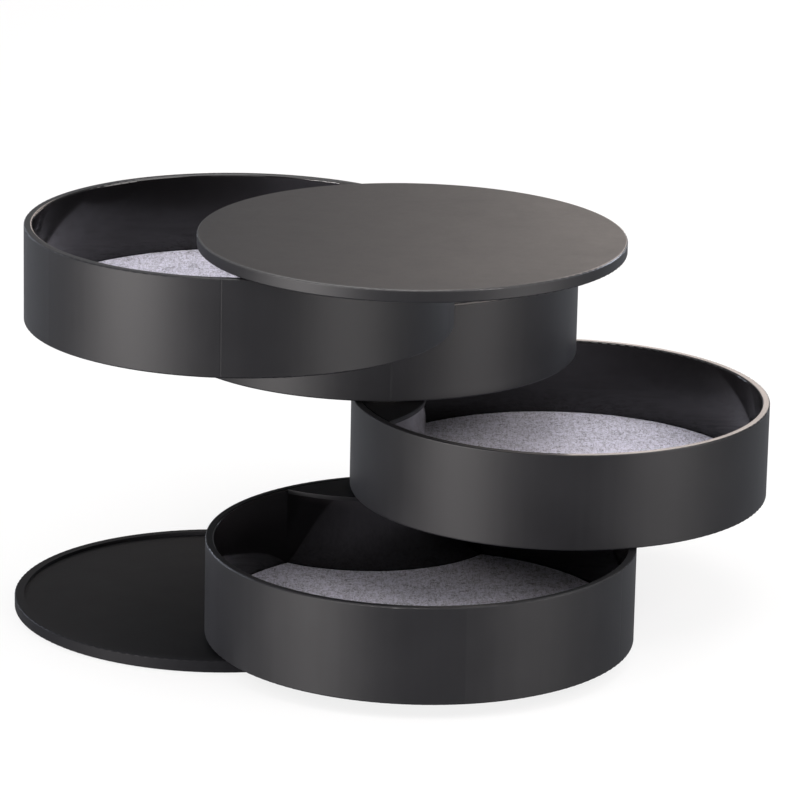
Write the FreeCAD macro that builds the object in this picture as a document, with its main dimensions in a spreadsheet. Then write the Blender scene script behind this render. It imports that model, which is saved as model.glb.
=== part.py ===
"""Rotating jewelry organizer: four round trays, a lid and a base plate that turn about one upright spindle.

Each tray is 150 mm across, and the lid and base are a little smaller. The pivot lies just inside the rim, so
the layers fan out around the spindle when they are turned and line up into a cylinder when they are closed.
The spindle hangs from the lid, passes through a hub in each tray and is held under the base plate by a screw,
a washer and a disc spring. The rest pose is the fanned-out one. Millimetres, +Z up, origin on the spindle's
axis at the table.
"""
import FreeCAD, Part
import enum
import math
import os
import re

import Sketcher

Vector = FreeCAD.Vector
doc = FreeCAD.newDocument("jewelry_organizer")

# Driving dimensions
SIZES = {
    "tray_radius": 75.0,
    "tray_height": 34.4,
    "tray_wall": 3.0,
    "tray_floor": 3.0,
    "underside_recess": 1.5,
    "felt_thickness": 2.4,
    "felt_clearance": 0.3,
    "pivot_inset": 13.1,
    "layer_gap": 0.4,
    "edge_round": 0.5,
    "rim_round": 0.7,
    "trim_round": 0.3,
    "hub_reach": 13.8,
    "hub_arc_radius": 52.0,
    "hub_wall": 2.0,
    "cover_thickness": 1.6,
    "cover_clearance": 0.1,
    "plate_setback": 1.5,
    "plate_thickness": 4.4,
    "lip_width": 3.4,
    "lip_height": 1.2,
    "boss_margin": 0.8,
    "foot_margin": 1.5,
    "grip_thickness": 0.9,
    "grip_recess": 0.4,
    "grip_inset": 3.0,
    "grip_clearance": 0.2,
    "spindle_radius": 4.0,
    "running_clearance": 0.05,
    "fit_clearance": 0.03,
    "bush_wall": 2.0,
    "bush_flange_width": 2.5,
    "bush_flange_thickness": 1.0,
    "tray_boss_wall": 2.0,
    "washer_width": 5.5,
    "washer_clearance": 0.2,
    "flange_thickness": 1.5,
    "flange_margin": 1.2,
    "lid_screw_radius": 1.15,
    "lid_screw_head_margin": 0.7,
    "lid_screw_head_land": 0.4,
    "lid_screw_grip": 1.7,
    "lid_screw_spare": 0.3,
    "pocket_side_clearance": 1.0,
    "pocket_end_clearance": 0.1,
    "spring_margin": 0.5,
    "spring_thickness": 0.4,
    "spring_height": 0.7,
    "keeper_radius": 8.0,
    "keeper_thickness": 0.6,
    "end_screw_radius": 1.95,
    "end_screw_head_radius": 3.6,
    "end_screw_head_height": 1.2,
    "end_screw_grip": 7.0,
    "end_screw_spare": 2.0,
    "end_screw_socket_radius": 1.3,
    "end_screw_socket_depth": 0.7,
    "base_angle": -160.2,
    "tray_1_angle": -78.1,
    "tray_2_angle": 2.4,
    "tray_3_angle": 95.4,
    "tray_4_angle": -147.7,
    "lid_angle": -83.1,
}
LID_SCREWS = 3
TRAYS = 4

dims = doc.addObject("Spreadsheet::Sheet", "dims")
for row, (alias, value) in enumerate(SIZES.items(), start=1):
    dims.set(f"A{row}", alias)
    dims.set(f"B{row}", str(value))
    dims.setAlias(f"B{row}", alias)
doc.recompute()


def expand(formula):
    """A formula written in the sheet's aliases, as an expression of the document."""
    return re.sub(r"[a-z]\w*", lambda word: f"dims.{word[0]}" if word[0] in SIZES else word[0], formula)


def number(formula):
    """The formula's value at the sheet's present sizes, as a starting place for sketch geometry."""
    return float(dims.evalExpression(expand(formula)))


# Sizes that follow from the driving ones
PIVOT = "(tray_radius - pivot_inset)"
TRAY_BORE = "(tray_radius - tray_wall)"
HUB_BACK = "(hub_arc_radius - hub_reach)"
COVER_SEAT = "(tray_height - cover_thickness)"
FLOOR_TOP = "(underside_recess + tray_floor)"
BUSH_BORE = "(spindle_radius + running_clearance)"
BUSH_RADIUS = "(spindle_radius + bush_wall)"
BUSH_FLANGE = "(spindle_radius + bush_wall + bush_flange_width)"
TRAY_BOSS = "(spindle_radius + bush_wall + tray_boss_wall)"
TRAY_FOOT = "(pivot_inset - foot_margin)"
PLATE_RADIUS = "(tray_radius - plate_setback)"
PLATE_BOSS = "(pivot_inset - plate_setback - boss_margin)"
SPINDLE_FLANGE = f"({PLATE_BOSS} - flange_margin)"
SCREW_CIRCLE = f"((spindle_radius + {SPINDLE_FLANGE}) / 2)"
LID_SCREW_HEAD = f"(({SPINDLE_FLANGE} - spindle_radius) / 2 - lid_screw_head_margin)"
LID_SCREW_HEAD_HEIGHT = "(flange_thickness - lid_screw_head_land)"
WASHER_BORE = "(spindle_radius + washer_clearance)"
WASHER_RADIUS = "(spindle_radius + washer_width)"
GRIP_RADIUS = f"({PLATE_RADIUS} - grip_inset - grip_clearance)"
POCKET_RADIUS = "(keeper_radius + pocket_side_clearance)"
POCKET_DEPTH = "(spring_height + keeper_thickness + end_screw_head_height + pocket_end_clearance)"
SPRING_RADIUS = "(keeper_radius - spring_margin)"

# Heights of the layers above the table
BASE_Z = "(grip_thickness - grip_recess)"
BASE_TOP = "(grip_thickness - grip_recess + plate_thickness)"
LAYER_PITCH = "(tray_height + layer_gap)"
LID_Z = f"({BASE_TOP} + layer_gap + {TRAYS} * {LAYER_PITCH})"
POCKET_TOP = f"(grip_thickness + {POCKET_DEPTH})"
SPINDLE_END = f"({POCKET_TOP} - spring_height)"


def tray_z(level):
    return f"({BASE_TOP} + layer_gap + {level - 1} * {LAYER_PITCH})"


def bind(obj, prop, formula):
    obj.setExpression(prop, expand(formula))


def place(obj, height=None, angle=None):
    """Stands a piece at its height and turns it about the spindle to its rest angle."""
    if height:
        bind(obj, "Placement.Base.z", height)
    if angle:
        obj.Placement.Rotation = FreeCAD.Rotation(Vector(0, 0, 1), number(angle))
        bind(obj, "Placement.Rotation.Angle", f"{angle} * 1 deg")


# Sketches
def body_named(label):
    body = doc.addObject("PartDesign::Body", label)
    body.Label = label
    return body


def sketch_in(body, name, height=None, role="XY_Plane"):
    sketch = body.newObject("Sketcher::SketchObject", f"{body.Name}_{name}")
    support = next(f for f in body.Origin.OriginFeatures if f.Role == role)
    sketch.AttachmentSupport = [(support, "")]
    sketch.MapMode = "FlatFace"
    if height:
        bind(sketch, "AttachmentOffset.Base.z", height)
    return sketch


def constrain(sketch, kind, *places, formula=None):
    """Adds one constraint; with a formula it is a dimension bound to the sheet."""
    if formula is None:
        sketch.addConstraint(Sketcher.Constraint(kind, *places))
        return
    index = sketch.addConstraint(Sketcher.Constraint(kind, *places, number(formula)))
    name = f"size_{index}"
    sketch.renameConstraint(index, name)
    bind(sketch, f"Constraints.{name}", formula)


class Spot(enum.IntEnum):
    """The sketcher's numbers for the named points of a curve."""

    START = enum.auto()
    END = enum.auto()
    CENTRE = enum.auto()


X_AXIS = -1
ORIGIN = (X_AXIS, Spot.START)


def centre_on_x(sketch, curve, offset):
    """Holds a curve's centre on the sketch's X axis; a formula with a leading minus is behind the origin."""
    if offset is None:
        constrain(sketch, "Coincident", curve, Spot.CENTRE, *ORIGIN)
        return
    constrain(sketch, "PointOnObject", curve, Spot.CENTRE, X_AXIS)
    if offset.startswith("-"):
        constrain(sketch, "DistanceX", curve, Spot.CENTRE, *ORIGIN, formula=offset[1:])
    else:
        constrain(sketch, "DistanceX", *ORIGIN, curve, Spot.CENTRE, formula=offset)


def circle(sketch, radius, offset=None):
    centre = Vector(number(offset) if offset else 0, 0, 0)
    curve = sketch.addGeometry(Part.Circle(centre, Vector(0, 0, 1), number(radius)))
    centre_on_x(sketch, curve, offset)
    constrain(sketch, "Radius", curve, formula=radius)
    return curve


def circle_at(sketch, radius, reach, degrees):
    """A circle at a polar place about the origin, held by a construction spoke."""
    turn = math.radians(degrees)
    tip = Vector(number(reach) * math.cos(turn), number(reach) * math.sin(turn), 0)
    spoke = sketch.addGeometry(Part.LineSegment(Vector(0, 0, 0), tip), True)
    curve = sketch.addGeometry(Part.Circle(tip, Vector(0, 0, 1), number(radius)))
    constrain(sketch, "Coincident", spoke, Spot.START, *ORIGIN)
    constrain(sketch, "Coincident", spoke, Spot.END, curve, Spot.CENTRE)
    constrain(sketch, "Distance", spoke, formula=reach)
    sketch.addConstraint(Sketcher.Constraint("Angle", spoke, turn))
    constrain(sketch, "Radius", curve, formula=radius)


def two_arcs(sketch, tray_arc_radius, hub_arc, hub_side):
    """The outline between the tray's wall and the hub's arc: the hub's lens, or the rest of the tray."""
    tray_r, hub_r = number(tray_arc_radius), number(hub_arc)
    tray_x, hub_x = number(PIVOT), -number(HUB_BACK)
    meet_x = (hub_r**2 - hub_x**2 - tray_r**2 + tray_x**2) / (2 * (tray_x - hub_x))
    meet_y = math.sqrt(tray_r**2 - (meet_x - tray_x) ** 2)
    tray_turn = math.atan2(meet_y, meet_x - tray_x)
    hub_turn = math.atan2(meet_y, meet_x - hub_x)
    up = Vector(0, 0, 1)
    tray_circle = Part.Circle(Vector(tray_x, 0, 0), up, tray_r)
    hub_circle = Part.Circle(Vector(hub_x, 0, 0), up, hub_r)
    span = (tray_turn, 2 * math.pi - tray_turn) if hub_side else (-tray_turn, tray_turn)
    wall = sketch.addGeometry(Part.ArcOfCircle(tray_circle, *span))
    arc = sketch.addGeometry(Part.ArcOfCircle(hub_circle, -hub_turn, hub_turn))
    lower, upper = (Spot.END, Spot.START) if hub_side else (Spot.START, Spot.END)
    constrain(sketch, "Coincident", wall, lower, arc, Spot.START)
    constrain(sketch, "Coincident", wall, upper, arc, Spot.END)
    centre_on_x(sketch, wall, PIVOT)
    centre_on_x(sketch, arc, "-" + HUB_BACK)
    constrain(sketch, "Radius", wall, formula=tray_arc_radius)
    constrain(sketch, "Radius", arc, formula=hub_arc)


def profile(sketch, corners):
    """A closed outline of straight lines through (x, y) formulas; y None lies on the X axis."""
    points = [Vector(number(x), number(y) if y else 0, 0) for x, y in corners]
    count = len(points)
    lines = [sketch.addGeometry(Part.LineSegment(points[i], points[(i + 1) % count])) for i in range(count)]
    for i, (x, y) in enumerate(corners):
        constrain(sketch, "Coincident", lines[i - 1], Spot.END, lines[i], Spot.START)
        constrain(sketch, "DistanceX", *ORIGIN, lines[i], Spot.START, formula=x)
        if y:
            constrain(sketch, "DistanceY", *ORIGIN, lines[i], Spot.START, formula=y)
        else:
            constrain(sketch, "PointOnObject", lines[i], Spot.START, X_AXIS)


# Features
def pad(body, sketch, length):
    feature = body.newObject("PartDesign::Pad", sketch.Name + "_pad")
    feature.Profile = sketch
    bind(feature, "Length", length)
    sketch.Visibility = False
    doc.recompute()
    return feature


def pocket(body, sketch, depth=None, upward=False):
    """Cuts a sketch downward, or upward from an underside, and stops if it took nothing away."""
    before = body.Shape.Volume
    feature = body.newObject("PartDesign::Pocket", sketch.Name + "_pocket")
    feature.Profile = sketch
    feature.Reversed = upward
    if depth:
        bind(feature, "Length", depth)
    else:
        feature.Type = "ThroughAll"
    doc.recompute()
    if body.Shape.Volume >= before:
        raise RuntimeError(f"{feature.Label} cut nothing")
    return feature


def revolve(body, sketch):
    feature = body.newObject("PartDesign::Revolution", sketch.Name + "_turn")
    feature.Profile = sketch
    feature.ReferenceAxis = (sketch, ["V_Axis"])
    feature.Angle = 360
    doc.recompute()
    return feature


def round_edges(body, radius, rings):
    """Rounds the full circular edges whose (radius, height) are listed as formulas."""
    wanted = [(number(r), number(z) if z else 0.0) for r, z in rings]
    names = []
    for i, edge in enumerate(body.Tip.Shape.Edges, start=1):
        if not isinstance(edge.Curve, Part.Circle):
            continue
        height = edge.Curve.Center.z
        if any(abs(edge.Curve.Radius - r) < 1e-4 and abs(height - z) < 1e-4 for r, z in wanted):
            names.append(f"Edge{i}")
    base = body.Tip
    feature = body.newObject("PartDesign::Fillet", f"{body.Name}_round_{len(body.Group)}")
    feature.Base = (base, names)
    bind(feature, "Radius", radius)
    doc.recompute()
    return feature


# Trays
def tray_shell(label):
    """The moulded tray: a floor raised on a lip, a round wall, the hub's partition and its bored boss."""
    body = body_named(label)
    outline = sketch_in(body, "outline")
    circle(outline, "tray_radius", PIVOT)
    pad(body, outline, "tray_height")
    well = sketch_in(body, "well", "tray_height")
    circle(well, TRAY_BORE, PIVOT)
    pocket(body, well, f"tray_height - {FLOOR_TOP}")
    hub = sketch_in(body, "hub", "underside_recess")
    two_arcs(hub, "(tray_radius - tray_wall / 2)", "hub_arc_radius", hub_side=True)
    pad(body, hub, f"{COVER_SEAT} - underside_recess")
    hollow = sketch_in(body, "hollow", COVER_SEAT)
    two_arcs(hollow, TRAY_BORE, "(hub_arc_radius - hub_wall)", hub_side=True)
    pocket(body, hollow, f"{COVER_SEAT} - {FLOOR_TOP}")
    recess = sketch_in(body, "underside")
    circle(recess, "(tray_radius - lip_width)", PIVOT)
    pocket(body, recess, "underside_recess", upward=True)
    foot = sketch_in(body, "foot")
    circle(foot, TRAY_FOOT)
    pad(body, foot, FLOOR_TOP)
    boss = sketch_in(body, "boss")
    circle(boss, TRAY_BOSS)
    pad(body, boss, COVER_SEAT)
    bore = sketch_in(body, "bore", "tray_height")
    circle(bore, f"({BUSH_RADIUS} + fit_clearance)")
    pocket(body, bore)
    seat = sketch_in(body, "flange_seat")
    circle(seat, f"({BUSH_FLANGE} + fit_clearance)")
    pocket(body, seat, "bush_flange_thickness", upward=True)
    round_edges(body, "edge_round", [("tray_radius", "tray_height"), ("tray_radius", None)])
    round_edges(body, "rim_round", [(TRAY_BORE, "tray_height")])
    return body


def felt_liner(label):
    """The felt sheet on the tray's floor, cut round the hub."""
    body = body_named(label)
    cut = sketch_in(body, "cut")
    two_arcs(cut, f"({TRAY_BORE} - felt_clearance)", "(hub_arc_radius + felt_clearance)", hub_side=False)
    pad(body, cut, "felt_thickness")
    return body


def hub_cover(label):
    """The lens-shaped plate that closes the hub, flush with the tray's rim."""
    body = body_named(label)
    lens = sketch_in(body, "lens")
    two_arcs(lens, f"({TRAY_BORE} - cover_clearance)", "hub_arc_radius", hub_side=True)
    pad(body, lens, "cover_thickness")
    hole = sketch_in(body, "hole", "cover_thickness")
    circle(hole, f"({BUSH_RADIUS} + cover_clearance)")
    pocket(body, hole)
    round_edges(body, "trim_round", [("hub_arc_radius", "cover_thickness")])
    return body


def pivot_bush(label):
    """The flanged nylon sleeve that runs on the spindle, pressed into the tray's boss from below."""
    body = body_named(label)
    turned = sketch_in(body, "section", role="XZ_Plane")
    corners = [
        (BUSH_BORE, None),
        (BUSH_FLANGE, None),
        (BUSH_FLANGE, "bush_flange_thickness"),
        (BUSH_RADIUS, "bush_flange_thickness"),
        (BUSH_RADIUS, "tray_height"),
        (BUSH_BORE, "tray_height"),
    ]
    profile(turned, corners)
    revolve(body, turned)
    return body


def flat_ring(label, bore, radius, thickness):
    body = body_named(label)
    ring = sketch_in(body, "ring")
    circle(ring, radius)
    circle(ring, bore)
    pad(body, ring, thickness)
    return body


pieces = []


def keep(piece, height=None, angle=None):
    place(piece, height, angle)
    pieces.append(piece)


for level in range(1, TRAYS + 1):
    angle = f"tray_{level}_angle"
    keep(tray_shell(f"tray_{level}"), tray_z(level), angle)
    keep(felt_liner(f"felt_liner_{level}"), f"({tray_z(level)} + {FLOOR_TOP})", angle)
    keep(hub_cover(f"hub_cover_{level}"), f"({tray_z(level)} + {COVER_SEAT})", angle)
    keep(pivot_bush(f"pivot_bush_{level}"), tray_z(level), angle)

# Thrust washers, one under each tray and one under the lid
for level in range(1, TRAYS + 2):
    washer = flat_ring(f"thrust_washer_{level}", WASHER_BORE, WASHER_RADIUS, "layer_gap")
    keep(washer, f"({tray_z(level)} - layer_gap)")


# Base plate
def base_plate(label):
    """A round plate with a raised lip, a boss at the pivot and room under the boss for the spindle's end."""
    body = body_named(label)
    outline = sketch_in(body, "outline")
    circle(outline, PLATE_RADIUS, PIVOT)
    pad(body, outline, "plate_thickness")
    dish = sketch_in(body, "dish", "plate_thickness")
    circle(dish, f"({PLATE_RADIUS} - lip_width)", PIVOT)
    pocket(body, dish, "lip_height")
    boss = sketch_in(body, "boss")
    circle(boss, PLATE_BOSS)
    pad(body, boss, "plate_thickness")
    recess = sketch_in(body, "grip_recess")
    circle(recess, f"({PLATE_RADIUS} - grip_inset)", PIVOT)
    pocket(body, recess, "grip_recess", upward=True)
    spring_room = sketch_in(body, "spring_pocket")
    circle(spring_room, POCKET_RADIUS)
    pocket(body, spring_room, f"grip_recess + {POCKET_DEPTH}", upward=True)
    bore = sketch_in(body, "bore", "plate_thickness")
    circle(bore, BUSH_BORE)
    pocket(body, bore)
    round_edges(body, "edge_round", [(PLATE_RADIUS, "plate_thickness"), (PLATE_RADIUS, None)])
    return body


def grip_disc(label):
    """The thin rubber disc let into the base's underside; the organizer stands on it."""
    body = body_named(label)
    outline = sketch_in(body, "outline")
    circle(outline, GRIP_RADIUS, PIVOT)
    pad(body, outline, "grip_thickness")
    return body


keep(base_plate("base_plate"), BASE_Z, "base_angle")
keep(grip_disc("grip_disc"), angle="base_angle")


# Lid and spindle
def lid_plate(label):
    """The base plate's twin turned over: lip and boss below, with a seat for the spindle's flange."""
    body = body_named(label)
    outline = sketch_in(body, "outline")
    circle(outline, PLATE_RADIUS, PIVOT)
    pad(body, outline, "plate_thickness")
    dish = sketch_in(body, "dish")
    circle(dish, f"({PLATE_RADIUS} - lip_width)", PIVOT)
    pocket(body, dish, "lip_height", upward=True)
    boss = sketch_in(body, "boss")
    circle(boss, PLATE_BOSS)
    pad(body, boss, "plate_thickness")
    seat = sketch_in(body, "flange_seat")
    circle(seat, f"({SPINDLE_FLANGE} + fit_clearance)")
    pocket(body, seat, "flange_thickness", upward=True)
    holes = sketch_in(body, "pilot_holes", "flange_thickness")
    for i in range(LID_SCREWS):
        circle_at(holes, "(lid_screw_radius + fit_clearance)", SCREW_CIRCLE, i * 360 / LID_SCREWS)
    pocket(body, holes, "lid_screw_grip + lid_screw_spare", upward=True)
    round_edges(body, "edge_round", [(PLATE_RADIUS, "plate_thickness"), (PLATE_RADIUS, None)])
    return body


def cylinder(name, radius, height, z=None):
    part = doc.addObject("Part::Cylinder", name)
    bind(part, "Radius", radius)
    bind(part, "Height", height)
    if z:
        bind(part, "Placement.Base.z", z)
    return part


def boolean(kind, name, base, tool):
    part = doc.addObject(kind, name)
    part.Base = base
    part.Tool = tool
    return part


def polar(part, reach, degrees, z=None):
    bind(part, "Placement.Base.x", f"{reach} * cos({degrees} deg)")
    bind(part, "Placement.Base.y", f"{reach} * sin({degrees} deg)")
    if z:
        bind(part, "Placement.Base.z", z)


def countersunk(name, head_radius, shank_radius, head_height, length, reach, degrees, z):
    """A countersunk form, head down: a screw, or the room that it needs."""
    head = doc.addObject("Part::Cone", name + "_head")
    bind(head, "Radius1", head_radius)
    bind(head, "Radius2", shank_radius)
    bind(head, "Height", head_height)
    shank = cylinder(name + "_shank", shank_radius, length)
    for part in (head, shank):
        polar(part, reach, degrees, z)
    return boolean("Part::Fuse", name, head, shank)


def spindle(label):
    """The steel spindle with its screw-on flange at the top and a tapped hole in its lower end."""
    shaft = cylinder("shaft", "spindle_radius", f"({LID_Z} - {SPINDLE_END})", SPINDLE_END)
    flange = cylinder("flange", SPINDLE_FLANGE, "flange_thickness", LID_Z)
    form = boolean("Part::Fuse", "spindle_blank", shaft, flange)
    tapped_depth = "(end_screw_grip + end_screw_spare)"
    tapped = cylinder("tapped_hole", "(end_screw_radius + fit_clearance)", tapped_depth, SPINDLE_END)
    form = boolean("Part::Cut", "spindle_tapped", form, tapped)
    for i in range(LID_SCREWS):
        hole = countersunk(
            f"countersink_{i + 1}",
            f"({LID_SCREW_HEAD} + fit_clearance)",
            "(lid_screw_radius + fit_clearance)",
            LID_SCREW_HEAD_HEIGHT,
            "flange_thickness",
            SCREW_CIRCLE,
            i * 360 / LID_SCREWS,
            LID_Z,
        )
        form = boolean("Part::Cut", f"spindle_drilled_{i + 1}", form, hole)
    form.Label = label
    return form


def lid_screws(label):
    """The countersunk screws that fasten the spindle's flange to the lid."""
    screws = [
        countersunk(
            f"lid_screw_{i + 1}",
            LID_SCREW_HEAD,
            "lid_screw_radius",
            LID_SCREW_HEAD_HEIGHT,
            "flange_thickness + lid_screw_grip",
            SCREW_CIRCLE,
            i * 360 / LID_SCREWS,
            LID_Z,
        )
        for i in range(LID_SCREWS)
    ]
    group = doc.addObject("Part::Compound", label)
    group.Links = screws
    group.Label = label
    return group


def end_screw(label):
    """The low-head socket screw that closes the stack from below."""
    head_z = f"({SPINDLE_END} - keeper_thickness - end_screw_head_height)"
    head = cylinder("end_screw_head", "end_screw_head_radius", "end_screw_head_height", head_z)
    shank_length = "(end_screw_head_height + keeper_thickness + end_screw_grip)"
    shank = cylinder("end_screw_shank", "end_screw_radius", shank_length, head_z)
    form = boolean("Part::Fuse", "end_screw_blank", head, shank)
    socket = doc.addObject("Part::Prism", "end_screw_socket")
    socket.Polygon = 6
    bind(socket, "Circumradius", "end_screw_socket_radius")
    bind(socket, "Height", "end_screw_socket_depth")
    bind(socket, "Placement.Base.z", head_z)
    form = boolean("Part::Cut", label, form, socket)
    form.Label = label
    return form


def disc_spring(label):
    """The dished spring washer that gives the layers their light, steady friction."""
    body = body_named(label)
    section = sketch_in(body, "section", role="XZ_Plane")
    inner, outer = WASHER_BORE, SPRING_RADIUS
    rise = "(spring_height - spring_thickness)"
    profile(section, [(inner, None), (outer, rise), (outer, "spring_height"), (inner, "spring_thickness")])
    revolve(body, section)
    return body


keep(lid_plate("lid_plate"), LID_Z, "lid_angle")
keep(spindle("spindle"), angle="lid_angle")
keep(lid_screws("lid_screws"), angle="lid_angle")
keep(end_screw("end_screw"), angle="lid_angle")
KEEPER_BORE = "(end_screw_radius + washer_clearance)"
keeper = flat_ring("keeper_washer", KEEPER_BORE, "keeper_radius", "keeper_thickness")
keep(keeper, f"({SPINDLE_END} - keeper_thickness)")
keep(disc_spring("disc_spring"), SPINDLE_END)

# Checks and export
doc.recompute()
for obj in doc.Objects:
    if "Invalid" in obj.State or "Error" in obj.State:
        raise RuntimeError(f"{obj.Label} did not build: {obj.State}")
os.makedirs("parts", exist_ok=True)
for piece in pieces:
    if piece.Shape.isNull() or not piece.Shape.isValid():
        raise RuntimeError(f"{piece.Label} has no valid shape")
    piece.Shape.exportStep(f"parts/{piece.Label}.step")
    print(f"{piece.Label}: {len(piece.Shape.Solids)} solid(s), {piece.Shape.Volume:.1f} mm3")
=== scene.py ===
"""Rotating jewelry organizer: satin shells, glossy wells, heather felt liners and a pale studio.

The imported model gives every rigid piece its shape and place. This script finishes those pieces with node
materials, lays a felt liner with a soft nap in each tray, and sets up the floor, lamps and camera.
"""

import math

import bmesh
import bpy
from mathutils import Matrix, Vector, noise


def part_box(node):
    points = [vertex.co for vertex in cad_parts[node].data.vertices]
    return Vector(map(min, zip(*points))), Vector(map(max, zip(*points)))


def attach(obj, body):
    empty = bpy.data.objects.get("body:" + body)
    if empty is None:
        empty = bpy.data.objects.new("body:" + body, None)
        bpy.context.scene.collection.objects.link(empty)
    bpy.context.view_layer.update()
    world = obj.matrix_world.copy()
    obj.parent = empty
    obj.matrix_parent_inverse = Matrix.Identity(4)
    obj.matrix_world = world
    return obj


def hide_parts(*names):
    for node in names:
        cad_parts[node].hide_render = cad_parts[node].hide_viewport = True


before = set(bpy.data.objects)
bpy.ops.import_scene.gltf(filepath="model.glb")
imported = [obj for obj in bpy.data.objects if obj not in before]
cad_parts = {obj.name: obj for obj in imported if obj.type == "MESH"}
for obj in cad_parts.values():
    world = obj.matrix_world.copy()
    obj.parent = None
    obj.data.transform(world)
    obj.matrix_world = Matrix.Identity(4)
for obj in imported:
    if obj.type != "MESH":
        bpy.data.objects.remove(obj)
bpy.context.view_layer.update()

bl_info = {
    "name": "Rotating jewelry organizer",
    "version": (1, 0, 0),
    "blender": (4, 5, 0),
    "location": "View3D > Sidebar > Organizer",
    "description": "Finishes the trays, lid and base, lays the felt liners and sets up the studio",
    "category": "Object",
}

MM = 0.001
BLACK = (0.0, 0.0, 0.0)
WHITE = (1.0, 1.0, 1.0)
TRAYS = (1, 2, 3, 4)

# Strength of the polish on each tray's rim, from the lowest tray up, chosen to match the photograph
RIM_POLISH = (0.3, 0.85, 0.15, 0.85)

# Where the mould parts on a tray's wall, from the line that leads away from the spindle
PARTING_TURNS = (math.radians(55.0), math.pi)

# Which ways the felt's fibres lie
FIBRE_TURNS = (0.35, 1.45, 2.5)

# Waves per metre and share of the nap's height, from broad swells to single tufts
NAP_WAVES = ((95.0, 0.35), (420.0, 0.40), (1150.0, 0.35))

# How far the nap's middle lies below the liner's top, as a share of its height
NAP_SINK = 0.3

# Moves the nap's noise from one liner to the next
SEED_STEP = 0.37

# Where the outermost rings of a liner lie, from the start of its rounding to its cut edge
EDGE_RINGS = (1.0, 0.72, 0.45, 0.22, 0.06, 0.0)


# Settings
def length_mm(name, description, millimetres):
    """A length setting, given in millimetres and kept in metres."""
    return bpy.props.FloatProperty(
        name=name, description=description, default=millimetres * MM, unit="LENGTH", precision=5
    )


def colour(name, description, rgb):
    return bpy.props.FloatVectorProperty(
        name=name, description=description, default=rgb, size=3, subtype="COLOR", min=0.0, max=1.0
    )


def share(name, description, default):
    return bpy.props.FloatProperty(
        name=name, description=description, default=default, min=0.0, max=1.0, subtype="FACTOR"
    )


def watts(name, description, default):
    return bpy.props.FloatProperty(
        name=name, description=description, default=default, min=0.0, unit="POWER"
    )


def angle(name, description, degrees):
    """An angle setting, given in degrees and kept in radians."""
    return bpy.props.FloatProperty(
        name=name, description=description, default=math.radians(degrees), unit="ROTATION"
    )


class OrganizerShell(bpy.types.PropertyGroup):
    """Finish of the moulded trays, lid and base."""

    outside: colour("Outside", "Satin charcoal of the outer faces", (0.0064, 0.0065, 0.0076))
    inside: colour("Inside", "Glossy black of the wells", (0.0060, 0.0056, 0.0061))
    # This paler charcoal is painted highlight along the lid's top edge and painted sheen on the lid's top
    # and the base's dish
    edge: colour("Edge", "Charcoal of the polished edges", (0.050, 0.049, 0.050))
    satin: share("Satin roughness", "Roughness of the outer faces", 0.44)
    gloss: share("Gloss roughness", "Roughness of the wells' inner faces", 0.12)
    shine: share("Shine", "Specular level of the trays and lid", 0.22)
    base_shine: share("Base shine", "Specular level of the base plate", 0.04)
    cover_shine: share("Cover shine", "Specular level of the hub covers", 0.12)
    lid_polish: share("Lid polish", "Strength of the polish on the lid's edge", 0.65)
    base_sheen: share("Base sheen", "Strength of the sheen on the base plate's outer side", 0.1)
    grain: length_mm("Grain", "Height of the fine moulded texture", 0.012)
    wall: length_mm("Wall", "Thickness of a tray's round wall", 3.0)
    tray_floor: length_mm("Tray floor", "From a tray's underside to the middle of its floor", 3.4)


class OrganizerFelt(bpy.types.PropertyGroup):
    """Shape and colour of the felt liners."""

    pale: colour("Pale fibre", "Colour of the pale fibres", (0.606, 0.590, 0.706))
    dark: colour("Dark fibre", "Colour of the dark fibres", (0.100, 0.095, 0.120))
    clearance: length_mm("Clearance", "Gap between the felt and the wall", 0.3)
    hub_radius: length_mm("Hub radius", "Radius of the hub's curved partition", 52.0)
    hub_reach: length_mm("Hub reach", "From the spindle to the partition's crown", 13.8)
    nap: length_mm("Nap", "Height of the felt's uneven surface", 0.22)
    edge: length_mm("Edge", "How far the cut edge is rounded over", 0.7)
    rings: bpy.props.IntProperty(
        name="Rings", description="Rings of faces across a liner", default=72, min=8
    )
    spokes: bpy.props.IntProperty(name="Spokes", description="Faces round a liner", default=420, min=24)


class OrganizerStudio(bpy.types.PropertyGroup):
    """Camera and lamps."""

    eye: bpy.props.FloatVectorProperty(
        name="Eye",
        description="Place of the camera",
        default=(0.0044, -1.635, 0.5521),
        size=3,
        unit="LENGTH",
    )
    pitch: angle("Pitch", "How far the camera looks down", 16.37)
    roll: angle("Roll", "Tilt of the camera about its view", 1.23)
    lens: bpy.props.FloatProperty(
        name="Lens", description="Focal length on a 36 mm sensor", default=214.2, unit="CAMERA"
    )
    left_strip: watts("Left strip", "Power of the low lamp on the left, which draws the walls' band", 151.0)
    right_strip: watts("Right strip", "Power of the low lamp on the right", 75.0)
    back_strips: watts("Back strips", "Power of each of the two low lamps behind", 11.0)
    left_power: watts("Left softbox", "Power of the raised lamp on the left", 6.0)
    right_power: watts("Right softbox", "Power of the raised lamp on the right", 9.0)
    front_power: watts("Front softbox", "Power of the lamp above the camera", 2.5)
    top_power: watts("Top softbox", "Power of the lamp overhead", 12.5)
    back_power: watts("Back softbox", "Power of the lamp that the lid reflects", 11.5)


# Shader nodes
class Value:
    """A number that changes over a surface; arithmetic on it adds Math nodes."""

    def __init__(self, board, socket):
        self.board = board
        self.socket = socket

    def __add__(self, other):
        return self.board.math("ADD", self, other)

    def __radd__(self, other):
        return self.board.math("ADD", other, self)

    def __sub__(self, other):
        return self.board.math("SUBTRACT", self, other)

    def __rsub__(self, other):
        return self.board.math("SUBTRACT", other, self)

    def __mul__(self, other):
        return self.board.math("MULTIPLY", self, other)

    def __rmul__(self, other):
        return self.board.math("MULTIPLY", other, self)

    def __pow__(self, other):
        return self.board.math("POWER", self, other)


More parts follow.
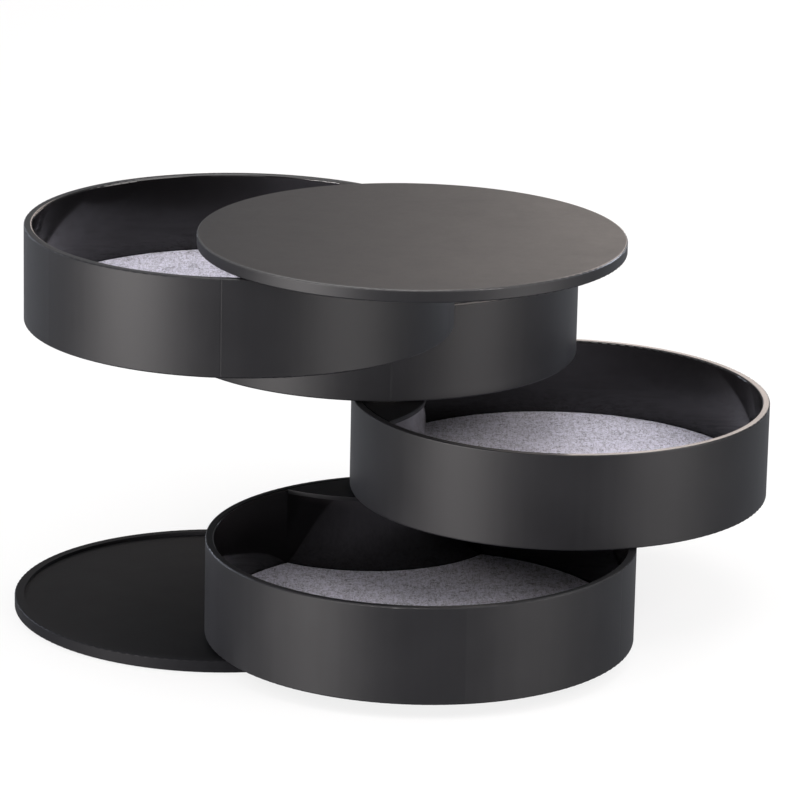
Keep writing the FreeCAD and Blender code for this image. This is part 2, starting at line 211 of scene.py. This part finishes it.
class Board:
    """The node tree of one material or world, emptied for new nodes."""

    def __init__(self, owner):
        owner.use_nodes = True
        self.tree = owner.node_tree
        self.tree.nodes.clear()

    def add(self, kind, settings=None, sockets=None):
        """Adds one node, with its settings first and then the values or links of its sockets."""
        node = self.tree.nodes.new("ShaderNode" + kind)
        for name, setting in (settings or {}).items():
            setattr(node, name, setting)
        for name, value in (sockets or {}).items():
            socket = node.inputs[name]
            if isinstance(value, Value):
                value = value.socket
            if isinstance(value, bpy.types.NodeSocket):
                self.tree.links.new(value, socket)
            else:
                socket.default_value = value
        return node

    def math(self, operation, *values):
        node = self.add("Math", {"operation": operation}, dict(enumerate(values)))
        return Value(self, node.outputs[0])

    def step(self, value, low, high):
        """0 at low and 1 at high, smooth between; low may be the greater."""
        sockets = {"Value": value, "From Min": low, "From Max": high}
        node = self.add("MapRange", {"interpolation_type": "SMOOTHSTEP"}, sockets)
        return Value(self, node.outputs["Result"])

    def mix(self, factor, first, second):
        """A colour between two, through one Mix node."""
        sockets = {0: factor, 6: self.rgba(first), 7: self.rgba(second)}
        return self.add("Mix", {"data_type": "RGBA"}, sockets).outputs[2]

    @staticmethod
    def rgba(value):
        return value if isinstance(value, bpy.types.NodeSocket) else (*tuple(value)[:3], 1.0)

    def place(self):
        """Place on the piece in its own frame, in metres, which stays with the piece as it turns."""
        return self.add("TexCoord").outputs["Object"]

    def xyz(self, vector):
        parts = self.add("SeparateXYZ", sockets={0: vector})
        return [Value(self, out) for out in parts.outputs]

    def noise(self, vector, per_metre, detail=2.0, roughness=0.5, distortion=0.0):
        sockets = {"Vector": vector, "Scale": per_metre, "Detail": detail}
        sockets.update({"Roughness": roughness, "Distortion": distortion})
        return Value(self, self.add("TexNoise", sockets=sockets).outputs[0])

    def stretch(self, vector, turn, scale):
        """The vector turned about Z and scaled, for streaks and fibres."""
        sockets = {"Vector": vector, "Rotation": (0.0, 0.0, turn), "Scale": scale}
        return self.add("Mapping", sockets=sockets).outputs[0]

    def bump(self, height, distance, strength=1.0):
        sockets = {"Height": height, "Distance": distance, "Strength": strength}
        return self.add("Bump", sockets=sockets).outputs["Normal"]

    def rays(self):
        """1 where the camera sees the surface, also through glass, and 1 where a gloss reflects it."""
        path = self.add("LightPath").outputs
        seen = self.math("MAXIMUM", path["Is Camera Ray"], path["Is Transmission Ray"])
        return seen, Value(self, path["Is Glossy Ray"])

    def finish(self, sockets):
        """Ends the tree in one Principled shader."""
        shader = self.add("BsdfPrincipled", sockets=sockets)
        self.add("OutputMaterial", sockets={"Surface": shader.outputs[0]})


def new_material(name):
    material = bpy.data.materials.new(name)
    return material, Board(material)


def dress(node, material):
    """Gives a rigid piece its finish."""
    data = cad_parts[node].data
    data.materials.clear()
    data.materials.append(material)


# Finishes
class Moulding:
    """Satin charcoal plastic of one moulded piece, to which the polish of its kind may be added, with
    painted highlight and sheen on the lid and base.
    """

    def __init__(self, node, shell):
        self.shell = shell
        self.low, self.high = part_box(node)
        self.middle = (self.low + self.high) / 2
        self.radius = (self.high.x - self.low.x) / 2
        self.material, self.board = new_material(f"{node}_plastic")
        self.place = self.board.place()
        x, y, self.z = self.board.xyz(self.place)
        self.east = x - self.middle.x
        self.north = y - self.middle.y
        self.across = self.board.math("SQRT", self.east**2.0 + self.north**2.0)
        self.cloud = self.board.noise(self.place, per_metre=38.0, detail=3.0, roughness=0.55)
        self.grain = self.board.noise(self.place, per_metre=2600.0, detail=3.0, roughness=0.65)
        streak = self.upright_noise(squeeze=0.02, per_metre=420.0, detail=3.0)
        haze = self.upright_noise(squeeze=0.4, per_metre=75.0, detail=4.0)

        # A tone of one half is the outside colour itself
        tone = 0.30 + 0.25 * self.cloud + 0.15 * streak
        self.colour = self.board.mix(tone, BLACK, [2.0 * level for level in shell.outside])
        uneven = 0.08 * self.cloud + 0.06 * self.grain + 0.05 * streak + 0.08 * haze
        self.rough = shell.satin - 0.13 + uneven
        self.coat = 0.0
        self.coat_rough = 0.07

    def upright_noise(self, squeeze, per_metre, detail):
        """Noise that is drawn out along the piece's height."""
        drawn_out = self.board.stretch(self.place, 0.0, (1.0, 1.0, squeeze))
        return self.board.noise(drawn_out, per_metre, detail, roughness=0.6)

    def outer_side(self, fade):
        """1 on the upright outer side, fading out at this depth within it."""
        return self.board.step(self.across, self.radius - fade, self.radius - fade / 3.0)

    def parting_lines(self):
        """1 along the fine upright lines that the mould leaves on a tray's outer wall."""
        facing = math.atan2(self.middle.y, self.middle.x)
        skin = self.radius - 0.5 * MM
        lines = 0.0
        for turn in PARTING_TURNS:
            run, rise = math.cos(facing + turn), math.sin(facing + turn)
            ahead = self.east * run + self.north * rise
            aside = self.north * run - self.east * rise
            line = self.board.step(self.board.math("ABSOLUTE", aside), 0.34 * MM, 0.08 * MM)
            lines = line * self.board.step(ahead, skin, skin + 0.4 * MM) + lines
        return lines

    def polish_tray(self, polish):
        """A glossy well, a polished rim and parting lines on the outer wall."""
        board, shell = self.board, self.shell
        bore = self.radius - shell.wall
        floor_z = self.low.z + shell.tray_floor
        top = board.step(self.z, self.high.z - 0.25 * MM, self.high.z - 0.08 * MM)
        rim = top * board.step(self.across, bore, bore + 0.3 * MM)
        within = board.step(self.across, bore + 0.7 * MM, bore + 0.2 * MM)
        well = within * board.step(self.z, floor_z - 0.2 * MM, floor_z + 0.2 * MM)
        smear = self.upright_noise(squeeze=0.25, per_metre=60.0, detail=4.0)
        gloss = shell.gloss - 0.03 + 0.06 * smear
        rim_coat = rim * polish * (0.42 + 0.58 * self.cloud)
        well_coat = well * (0.45 + 0.2 * smear)
        self.colour = board.mix(well, self.colour, shell.inside)
        self.rough = self.rough + well * (gloss - self.rough)
        self.coat = board.math("MAXIMUM", rim_coat, well_coat)
        self.grain = self.grain * (1.0 - well) - 3.5 * self.parting_lines()

    def polish_and_paint_lid_highlight(self, polish):
        """A polished edge round the top with a painted highlight along it, and a painted sheen that makes
        the top a little paler than the side.
        """
        side = self.outer_side(0.3 * MM)
        below_corner = self.across - self.radius + self.z - self.high.z
        edge = self.board.step(below_corner, -0.75 * MM, -0.45 * MM)
        # Painted highlight: the edge band is lightened toward the edge colour, and the top a little less as
        # painted sheen; the side keeps the plain colour
        self.colour = self.board.mix(0.06 - 0.06 * side + 0.25 * edge, self.colour, self.shell.edge)
        self.coat = edge * polish * (0.8 + 0.2 * self.cloud)
        self.coat_rough = 0.2

    def sheen_and_paint_base_dish(self, sheen):
        """A faint sheen on the outer side, and a painted sheen that makes the dish a little paler than it.
        """
        side = self.outer_side(0.6 * MM)
        # Painted sheen: the dish is lightened toward the edge colour, the outer side is not
        self.colour = self.board.mix(0.09 - 0.09 * side, self.colour, self.shell.edge)
        self.coat = sheen * side
        self.coat_rough = 0.4

    def finish(self, shine):
        self.board.finish(
            {
                "Base Color": self.colour,
                "Roughness": self.rough,
                "Specular IOR Level": shine,
                "Coat Weight": self.coat,
                "Coat Roughness": self.coat_rough,
                "Normal": self.board.bump(self.grain, self.shell.grain),
            }
        )
        return self.material


def felt_material(felt):
    """Pressed wool in two greys: a mottled ground with pale and dark fibres lying every way."""
    material, board = new_material("heather_felt")
    place = board.place()
    mottle = board.noise(place, per_metre=260.0, detail=4.0, roughness=0.65, distortion=0.6)
    tuft = board.noise(place, per_metre=700.0, detail=5.0, roughness=0.72, distortion=1.4)
    strand = 0.0
    for turn in FIBRE_TURNS:
        along = board.stretch(place, turn, (1.0, 0.2, 1.0))
        strand = board.math("MAXIMUM", board.noise(along, per_metre=1300.0, distortion=1.1), strand)
    pale_weight = 0.18 * mottle + 0.67 * tuft + 0.45 * strand - 0.17
    tone = board.step(pale_weight, 0.36, 0.60)
    height = 0.45 * tuft + 0.55 * strand
    board.finish(
        {
            "Base Color": board.mix(tone, felt.dark, felt.pale),
            "Roughness": 0.95,
            "Specular IOR Level": 0.15,
            "Sheen Weight": 0.35,
            "Sheen Roughness": 0.6,
            "Normal": board.bump(height, 0.5 * MM, 0.9),
        }
    )
    return material


def steel_material():
    """Turned steel with fine marks round the spindle's axis."""
    material, board = new_material("turned_steel")
    place = board.place()
    x, y, z = board.xyz(place)
    across = board.math("SQRT", x**2.0 + y**2.0)
    rings = board.add("CombineXYZ", sockets={0: across, 1: 0.0, 2: z}).outputs[0]
    marks = board.noise(rings, per_metre=9000.0, detail=3.0, roughness=0.6)
    stain = board.noise(place, per_metre=120.0, detail=3.0, roughness=0.55)
    board.finish(
        {
            "Base Color": board.mix(stain, (0.52, 0.52, 0.53), (0.66, 0.65, 0.64)),
            "Metallic": 1.0,
            "Roughness": 0.24 + 0.14 * marks,
            "Normal": board.bump(marks, 0.01 * MM),
        }
    )
    return material


def nylon_material():
    """Natural nylon, milky and slightly mottled."""
    material, board = new_material("natural_nylon")
    place = board.place()
    cloud = board.noise(place, per_metre=160.0, detail=3.0)
    grain = board.noise(place, per_metre=3200.0)
    board.finish(
        {
            "Base Color": board.mix(cloud, (0.70, 0.68, 0.62), (0.82, 0.80, 0.75)),
            "Roughness": 0.40 + 0.12 * grain,
            "Normal": board.bump(grain, 0.01 * MM),
        }
    )
    return material


def rubber_material():
    """Black sheet rubber with a fine open texture."""
    material, board = new_material("grip_rubber")
    place = board.place()
    cells = board.add("TexVoronoi", sockets={"Vector": place, "Scale": 1500.0})
    pits = Value(board, cells.outputs["Distance"])
    dust = board.noise(place, per_metre=90.0, detail=4.0, roughness=0.6)
    board.finish(
        {
            "Base Color": board.mix(dust, (0.018, 0.018, 0.018), (0.042, 0.041, 0.040)),
            "Roughness": 0.78 + 0.14 * pits,
            "Normal": board.bump(pits, 0.06 * MM),
        }
    )
    return material


# Felt liners
def felt_reach(turn, bore, gap, hub_radius):
    """Distance from the tray's middle to the felt's edge, at an angle from the line away from the spindle.

    The gap is from the tray's middle to the middle of the hub's arc.
    """
    ahead, aside = math.cos(turn), math.sin(turn)
    inside = hub_radius**2 - (gap * aside) ** 2
    if ahead < 0.0 and inside > 0.0:
        return min(bore, -gap * ahead - math.sqrt(inside))
    return bore


def felt_corner(bore, gap, hub_radius):
    """Angle of the felt's corner, where the hub's arc meets the round wall."""
    return math.acos((hub_radius**2 - bore**2 - gap**2) / (2.0 * bore * gap))


def felt_turns(spokes, corner):
    """Even angles round the liner, with the two nearest to its corners moved onto them."""
    turns = [2.0 * math.pi * i / spokes for i in range(spokes)]
    for target in (corner, 2.0 * math.pi - corner):
        nearest = min(range(spokes), key=lambda i: abs(turns[i] - target))
        turns[nearest] = target
    return turns


def felt_area(turns, reaches):
    """Flat area, as thin triangles from the liner's middle to its edge."""
    area = 0.0
    for i, turn in enumerate(turns):
        j = (i + 1) % len(turns)
        wedge = (turns[j] - turn) % (2.0 * math.pi)
        area += 0.5 * reaches[i] * reaches[j] * math.sin(wedge)
    return area


def felt_height(spot, seed, inset, felt):
    """Height of the felt above its flat top: a soft nap, lowered and rounded at the cut edge."""
    point = Vector((spot.x, spot.y, seed))
    nap = felt.nap * sum(part * noise.noise(point * waves) for waves, part in NAP_WAVES)
    over = max(0.0, 1.0 - inset / felt.edge)
    drop = felt.edge * (1.0 - math.sqrt(max(0.0, 1.0 - over * over)))
    return nap * (1.0 - over) - drop - NAP_SINK * felt.nap


def ring_inset(ring, reach, felt):
    """How far a ring lies within the cut edge; the last rings draw together over its rounding."""
    inner = felt.rings - len(EDGE_RINGS)
    if ring < inner:
        return felt.edge + (reach - felt.edge) * (1.0 - (ring + 1) / (inner + 1))
    return felt.edge * EDGE_RINGS[ring - inner]


def felt_mesh(number, felt, middle, turns, reaches):
    """Rings of faces from the middle out to the cut edge, then down it to a flat underside."""
    low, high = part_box(f"felt_liner_{number}")
    build = bmesh.new()
    crown = build.verts.new(middle + Vector((0.0, 0.0, high.z - NAP_SINK * felt.nap)))
    rings = []
    for ring in range(felt.rings):
        row = []
        for turn, reach in zip(turns, reaches):
            inset = ring_inset(ring, reach, felt)
            spot = middle + Vector((math.cos(turn), math.sin(turn), 0.0)) * (reach - inset)
            spot.z = high.z + felt_height(spot, SEED_STEP * number, inset, felt)
            row.append(build.verts.new(spot))
        rings.append(row)
    foot = [build.verts.new((vertex.co.x, vertex.co.y, low.z)) for vertex in rings[-1]]
    rings.append(foot)
    count = len(turns)
    for i in range(count):
        build.faces.new((crown, rings[0][i], rings[0][(i + 1) % count]))
    for upper, lower in zip(rings, rings[1:]):
        for i in range(count):
            j = (i + 1) % count
            build.faces.new((upper[i], lower[i], lower[j], upper[j]))
    build.faces.new(list(reversed(foot)))
    bmesh.ops.recalc_face_normals(build, faces=build.faces)
    mesh = bpy.data.meshes.new(f"felt_{number}")
    build.to_mesh(mesh)
    build.free()
    mesh.shade_smooth()
    return mesh


def make_felt_liner(number, felt, shell):
    """A closed sheet of felt that fills a tray's floor, and its flat width, length and area."""
    low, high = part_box(f"tray_{number}")
    middle = Vector(((low.x + high.x) / 2, (low.y + high.y) / 2, 0.0))
    facing = math.atan2(middle.y, middle.x)
    bore = (high.x - low.x) / 2 - shell.wall - felt.clearance
    gap = middle.length + felt.hub_radius - felt.hub_reach
    sizes = (bore, gap, felt.hub_radius + felt.clearance)
    turns = felt_turns(felt.spokes, felt_corner(*sizes))
    reaches = [felt_reach(turn, *sizes) for turn in turns]
    mesh = felt_mesh(number, felt, middle, [facing + turn for turn in turns], reaches)
    liner = bpy.data.objects.new(f"felt_{number}", mesh)
    bpy.context.scene.collection.objects.link(liner)
    ahead = [reach * math.cos(turn) for turn, reach in zip(turns, reaches)]
    return liner, 2.0 * bore, max(ahead) - min(ahead), felt_area(turns, reaches)


# Operators
class ORGANIZER_OT_shells(bpy.types.Operator):
    """Finish the trays, hub covers, lid and base plate in satin plastic with glossy wells"""

    bl_idname = "organizer.shells"
    bl_label = "Shells"

    def execute(self, context):
        shell = context.scene.organizer_shell
        lid = Moulding("lid_plate", shell)
        lid.polish_and_paint_lid_highlight(shell.lid_polish)
        dress("lid_plate", lid.finish(shell.shine))
        base = Moulding("base_plate", shell)
        base.sheen_and_paint_base_dish(shell.base_sheen)
        dress("base_plate", base.finish(shell.base_shine))
        for number, polish in zip(TRAYS, RIM_POLISH):
            tray = Moulding(f"tray_{number}", shell)
            tray.polish_tray(polish)
            dress(f"tray_{number}", tray.finish(shell.shine))
            cover = Moulding(f"hub_cover_{number}", shell)
            dress(f"hub_cover_{number}", cover.finish(shell.cover_shine))
        return {"FINISHED"}


class ORGANIZER_OT_felt(bpy.types.Operator):
    """Lay a felt liner in each tray"""

    bl_idname = "organizer.felt"
    bl_label = "Felt liners"

    def execute(self, context):
        felt = context.scene.organizer_felt
        shell = context.scene.organizer_shell
        material = felt_material(felt)
        for number in TRAYS:
            liner, width, length, area = make_felt_liner(number, felt, shell)
            liner.data.materials.append(material)
            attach(liner, f"layer_{number}")
            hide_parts(f"felt_liner_{number}")
        return {"FINISHED"}


class ORGANIZER_OT_works(bpy.types.Operator):
    """Finish the spindle, screws, spring, bushes, washers and grip disc"""

    bl_idname = "organizer.works"
    bl_label = "Spindle and bearings"

    def execute(self, context):
        steel = steel_material()
        for node in ("spindle", "lid_screws", "end_screw", "keeper_washer", "disc_spring"):
            dress(node, steel)
        nylon = nylon_material()
        for number in TRAYS:
            dress(f"pivot_bush_{number}", nylon)
        for number in range(1, len(TRAYS) + 2):
            dress(f"thrust_washer_{number}", nylon)
        dress("grip_disc", rubber_material())
        return {"FINISHED"}


def add_softbox(name, place, target, size, power, tint):
    """A flat soft lamp that faces a point."""
    lamp = bpy.data.lights.new(name, "AREA")
    lamp.shape = "RECTANGLE"
    lamp.size, lamp.size_y = size
    lamp.energy = power
    lamp.color = tint
    holder = bpy.data.objects.new(name, lamp)
    bpy.context.scene.collection.objects.link(holder)
    holder.location = place
    aim = Vector(target) - Vector(place)
    holder.rotation_euler = aim.to_track_quat("-Z", "Y").to_euler()


def floor_material():
    """Pale floor that the camera sees as white with the object's shadow, and that a gloss sees dimmed."""
    material, board = new_material("studio_floor")
    seen, glossy = board.rays()
    paper_colour = board.mix(glossy, (0.84, 0.84, 0.84), (0.11, 0.12, 0.135))
    paper = board.add("BsdfDiffuse", sockets={"Color": paper_colour})
    glow = board.add("Emission", sockets={"Color": board.rgba(WHITE), "Strength": 1.0})
    y = board.xyz(board.place())[1]
    reflected = glossy * (0.04 + 0.18 * board.step(y, -0.45, 0.1))
    glow_share = board.math("MAXIMUM", seen * 0.82, reflected)
    both = {0: glow_share, 1: paper.outputs[0], 2: glow.outputs[0]}
    mixed = board.add("MixShader", sockets=both)
    board.add("OutputMaterial", sockets={"Surface": mixed.outputs[0]})
    return material


def studio_world():
    """White to the camera; as light, dim low down and brighter overhead and behind the object."""
    world = bpy.data.worlds.new("studio")
    board = Board(world)
    seen, glossy = board.rays()
    y, z = board.xyz(board.add("TexCoord").outputs["Generated"])[1:]
    level = 0.05 + 0.12 * board.step(y, -0.5, 0.8) + 0.40 * board.step(z, 0.25, 0.85)
    lit = board.add("Background", sockets={"Color": board.mix(level, BLACK, (0.93, 0.95, 1.0))})
    white = board.add("Background", sockets={"Color": board.rgba(WHITE)})
    high_back = 0.42 * board.step(y, 0.2, 0.9) * board.step(z, 0.3, 0.6)
    white_share = board.math("MAXIMUM", seen, glossy * high_back)
    both = {0: white_share, 1: lit.outputs[0], 2: white.outputs[0]}
    mixed = board.add("MixShader", sockets=both)
    board.add("OutputWorld", sockets={"Surface": mixed.outputs[0]})
    return world


def add_floor():
    """A wide flat floor under the object."""
    reach = 4.0
    corners = [(-reach, -reach, 0.0), (reach, -reach, 0.0), (reach, reach, 0.0), (-reach, reach, 0.0)]
    mesh = bpy.data.meshes.new("floor")
    mesh.from_pydata(corners, [], [(0, 1, 2, 3)])
    mesh.materials.append(floor_material())
    floor = bpy.data.objects.new("floor", mesh)
    bpy.context.scene.collection.objects.link(floor)


def add_lamps(studio):
    """Low strips that draw bands on the walls, and raised softboxes for the wells, lid and floor."""
    wall_height = (0.0, 0.0, 0.13)
    middle = (0.0, -0.02, 0.08)
    strip, softbox = (1.7, 0.26), (0.8, 0.6)
    warm, cool = (1.0, 0.955, 0.94), (0.78, 0.85, 1.0)
    neutral, amber = (1.0, 0.985, 0.965), (1.0, 0.87, 0.80)
    add_softbox("left_strip", (-2.12, -1.50, 0.13), wall_height, strip, studio.left_strip, warm)
    add_softbox("right_strip", (2.20, -1.38, 0.13), wall_height, strip, studio.right_strip, warm)
    add_softbox("left_back_strip", (-1.95, 1.75, 0.13), wall_height, strip, studio.back_strips, cool)
    add_softbox("right_back_strip", (1.95, 1.75, 0.13), wall_height, strip, studio.back_strips, cool)
    add_softbox("left_softbox", (-0.85, -0.65, 0.90), middle, softbox, studio.left_power, warm)
    add_softbox("right_softbox", (0.90, -0.60, 0.90), middle, softbox, studio.right_power, warm)
    add_softbox("front_softbox", (0.05, -1.45, 0.72), middle, softbox, studio.front_power, warm)
    add_softbox("top_softbox", (0.12, 0.02, 1.30), middle, (1.5, 0.9), studio.top_power, neutral)
    add_softbox("back_softbox", (0.70, 1.45, 0.85), middle, (1.4, 0.9), studio.back_power, amber)


def add_camera(studio):
    """The camera at the photograph's viewing angle."""
    lens = bpy.data.cameras.new("camera")
    lens.lens = studio.lens
    lens.sensor_width = 36.0
    lens.clip_end = 20.0
    camera = bpy.data.objects.new("camera", lens)
    bpy.context.scene.collection.objects.link(camera)
    tilt = Matrix.Rotation(math.pi / 2 - studio.pitch, 4, "X")
    look = tilt @ Matrix.Rotation(studio.roll, 4, "Z")
    camera.matrix_world = Matrix.Translation(Vector(studio.eye)) @ look
    bpy.context.scene.camera = camera


class ORGANIZER_OT_studio(bpy.types.Operator):
    """Set up the pale floor, the soft lamps and the camera"""

    bl_idname = "organizer.studio"
    bl_label = "Studio"

    def execute(self, context):
        scene = context.scene
        studio = scene.organizer_studio
        add_floor()
        scene.world = studio_world()
        add_lamps(studio)
        add_camera(studio)
        scene.view_settings.view_transform = "Standard"
        return {"FINISHED"}


class ORGANIZER_PT_panel(bpy.types.Panel):
    """Steps and settings of the organizer"""

    bl_idname = "ORGANIZER_PT_panel"
    bl_label = "Jewelry organizer"
    bl_space_type = "VIEW_3D"
    bl_region_type = "UI"
    bl_category = "Organizer"

    def draw(self, context):
        for step in STEPS:
            self.layout.operator(step.bl_idname)
        for name in SETTINGS:
            group = getattr(context.scene, name)
            box = self.layout.box()
            box.label(text=group.rna_type.name)
            for field in group.__annotations__:
                box.prop(group, field)


STEPS = (ORGANIZER_OT_shells, ORGANIZER_OT_felt, ORGANIZER_OT_works, ORGANIZER_OT_studio)
SETTINGS = {
    "organizer_shell": OrganizerShell,
    "organizer_felt": OrganizerFelt,
    "organizer_studio": OrganizerStudio,
}
CLASSES = (*SETTINGS.values(), *STEPS, ORGANIZER_PT_panel)


def register():
    for kind in CLASSES:
        bpy.utils.register_class(kind)
    for name, group in SETTINGS.items():
        setattr(bpy.types.Scene, name, bpy.props.PointerProperty(type=group))


def unregister():
    for name in SETTINGS:
        delattr(bpy.types.Scene, name)
    for kind in reversed(CLASSES):
        bpy.utils.unregister_class(kind)


def main():
    register()
    bpy.ops.organizer.studio()
    bpy.ops.organizer.shells()
    bpy.ops.organizer.felt()
    bpy.ops.organizer.works()


if __name__ == "__main__":
    main()
